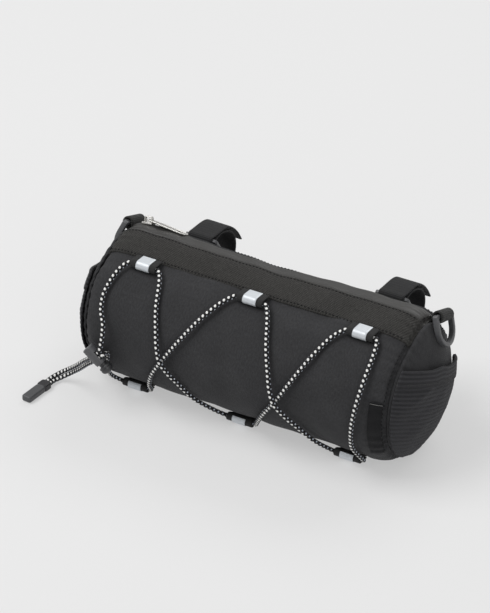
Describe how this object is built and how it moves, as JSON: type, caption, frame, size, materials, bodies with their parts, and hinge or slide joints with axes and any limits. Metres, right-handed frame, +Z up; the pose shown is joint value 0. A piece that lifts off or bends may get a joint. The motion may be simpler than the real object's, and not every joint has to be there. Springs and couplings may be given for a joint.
{
  "type": "bicycle handlebar bag",
  "caption": "Soft zipped barrel bag for a handlebar, with bar straps, end pockets, shoulder-strap rings and a laced elastic cord held by a lock.",
  "frame": {"origin": "on the floor, at the middle of the flat patch that the bag rests on", "axes": "+X to the end away from the closed zip slider, the right-hand end seen from the laced front; -Y out of the laced front, +Y toward the handlebar; +Z up"},
  "size_m": [0.2961, 0.1737, 0.1148],
  "materials": {
    "shell_cloth": "fine plain-woven black nylon",
    "band_cloth": "coarser black woven nylon",
    "zip_tape": "coated water-resistant zip tape, satin",
    "pocket_cloth": "ribbed black mesh with an elastic hem",
    "webbing": "black woven webbing",
    "reflective": "silver-grey reflective tape",
    "moulded": "satin moulded plastic, dark grey",
    "zip_metal": "plated cast metal",
    "cord_cover": "braided cover, black with light flecks",
    "label_cloth": "bare woven label"
  },
  "bodies": {
    "bag": {"barrel_shell": "shell_cloth", "top_band": "band_cloth", "zip_tape_front": "zip_tape", "zip_tape_rear": "zip_tape", "end_panel_left": "shell_cloth", "end_panel_right": "shell_cloth", "pocket_hem_left": "pocket_cloth", "pocket_hem_right": "pocket_cloth", "pocket_left": "pocket_cloth", "pocket_right": "pocket_cloth", "ring_tab_left": "webbing", "ring_tab_right": "webbing", "bar_strap_left": "webbing", "bar_strap_right": "webbing", "strap_ring_left": "moulded", "strap_ring_right": "moulded", "ring_keeper_left": "webbing", "ring_keeper_right": "webbing", "upper_loop_1": "webbing", "upper_loop_2": "webbing", "upper_loop_3": "webbing", "upper_reflector_1": "reflective", "upper_reflector_2": "reflective", "upper_reflector_3": "reflective", "lower_loop_1": "webbing", "lower_loop_2": "webbing", "lower_loop_3": "webbing", "lower_reflector_1": "reflective", "lower_reflector_2": "reflective", "lower_reflector_3": "reflective", "bungee_cord": "cord_cover", "cord_tail_a": "cord_cover", "cord_tail_b": "cord_cover", "cord_end": "moulded", "cord_lock_body": "moulded", "zip_slider": "zip_metal", "side_label": "label_cloth"},
    "d_ring_left": {"d_ring_left": "moulded"},
    "d_ring_right": {"d_ring_right": "moulded"},
    "zip_pull": {"zip_pull": "zip_metal"},
    "lock_button": {"cord_lock_button": "moulded"}
  },
  "joints": [
    {"name": "d_ring_left_swing", "type": "hinge", "parent": "bag", "child": "d_ring_left", "pos_m": [-0.1271, 0.02628, 0.1014], "axis": [0, 0.9272, -0.3746], "range_deg": [0, 190]},
    {"name": "d_ring_right_swing", "type": "hinge", "parent": "bag", "child": "d_ring_right", "pos_m": [0.1271, 0.02628, 0.1014], "axis": [0, -0.9272, 0.3746], "range_deg": [0, 190]},
    {"name": "zip_pull_swing", "type": "hinge", "parent": "bag", "child": "zip_pull", "pos_m": [-0.10946, 0.01873, 0.11175], "axis": [0.0002, -0.9026, 0.4305], "range_deg": [0, 120]},
    {"name": "lock_button_press", "type": "slide", "parent": "bag", "child": "lock_button", "axis": [-0.7454, -0.055, 0.6644], "range_m": [0, 0.0018], "stiffness_N_per_m": 1500}
  ]
}
